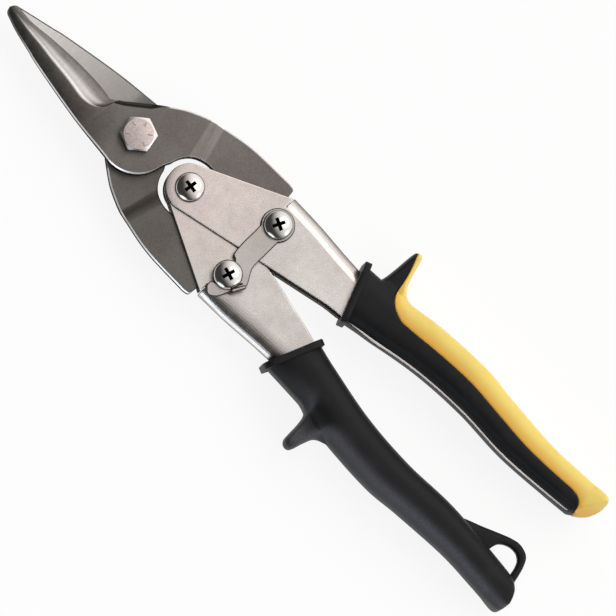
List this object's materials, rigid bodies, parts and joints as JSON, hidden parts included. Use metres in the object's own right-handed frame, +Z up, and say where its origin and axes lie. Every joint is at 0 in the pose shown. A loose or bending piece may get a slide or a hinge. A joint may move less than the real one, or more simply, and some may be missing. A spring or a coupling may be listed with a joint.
{
  "type": "aviation snips",
  "caption": "Compound-action sheet metal snips with forged bypass blades, folded steel handles on a four-bar linkage, moulded grips with guard horns, a thumb catch and a hanging loop.",
  "frame": {"origin": "on the blade pivot's axis, at the plane that the tool lies on", "axes": "+X from the pivot to the blade tips, +Y to the handle with the hanging loop, +Z up along the pivot bolt to its head"},
  "size_m": [0.2588, 0.0769, 0.02],
  "materials": {
    "forged_steel": "dark satin forging, ground bright on the jaws",
    "nickel_plate": "satin nickel plate",
    "bright_steel": "bright plated",
    "spring_steel": "oil tempered wire",
    "black_plastic": "fine moulded texture",
    "yellow_plastic": "semi-gloss moulding"
  },
  "bodies": {
    "upper_handle": {"upper_channel": "nickel_plate", "upper_grip": "black_plastic", "upper_inlay": "yellow_plastic", "hinge_screw": "bright_steel", "hinge_sleeve": "bright_steel", "hinge_nut": "bright_steel", "upper_pin_screw": "bright_steel", "upper_pin_sleeve": "bright_steel", "upper_pin_nut": "bright_steel", "upper_spacer_front": "bright_steel", "upper_spacer_rear": "bright_steel", "return_spring": "spring_steel"},
    "lower_handle": {"lower_channel": "nickel_plate", "lower_grip": "black_plastic", "lower_pin_screw": "bright_steel", "lower_pin_sleeve": "bright_steel", "lower_pin_nut": "bright_steel", "keeper_collar": "bright_steel"},
    "front_jaw": {"front_blade": "forged_steel", "pivot_bolt": "bright_steel", "pivot_washer": "bright_steel", "pivot_nut": "bright_steel"},
    "rear_jaw": {"rear_blade": "forged_steel"},
    "catch": {"catch_plate": "nickel_plate"}
  },
  "joints": [
    {"name": "handle_hinge", "type": "hinge", "parent": "upper_handle", "child": "lower_handle", "pos_m": [-0.0245, 0, 0.01], "axis": [0, 0, -1], "range_deg": [0, 30], "deforming": ["return_spring"]},
    {"name": "front_blade_pin", "type": "hinge", "parent": "upper_handle", "child": "front_jaw", "pos_m": [-0.0541, -0.0119, 0.01], "axis": [0, 0, -1], "range_deg": [0, 7.2]},
    {"name": "blade_pivot", "type": "hinge", "parent": "front_jaw", "child": "rear_jaw", "pos_m": [0, 0, 0.01], "axis": [0, 0, -1], "range_deg": [0, 16]},
    {"name": "catch_pivot", "type": "hinge", "parent": "upper_handle", "child": "catch", "pos_m": [-0.0541, -0.0119, 0.01], "axis": [0, 0, 1], "range_deg": [0, 73]}
  ],
  "couplings": [
    {"joint": "front_blade_pin", "follows": "handle_hinge", "ratio": 0.2365},
    {"joint": "blade_pivot", "follows": "handle_hinge", "ratio": 0.527},
    {"joint": "catch_pivot", "follows": "handle_hinge", "ratio": 2.4}
  ]
}
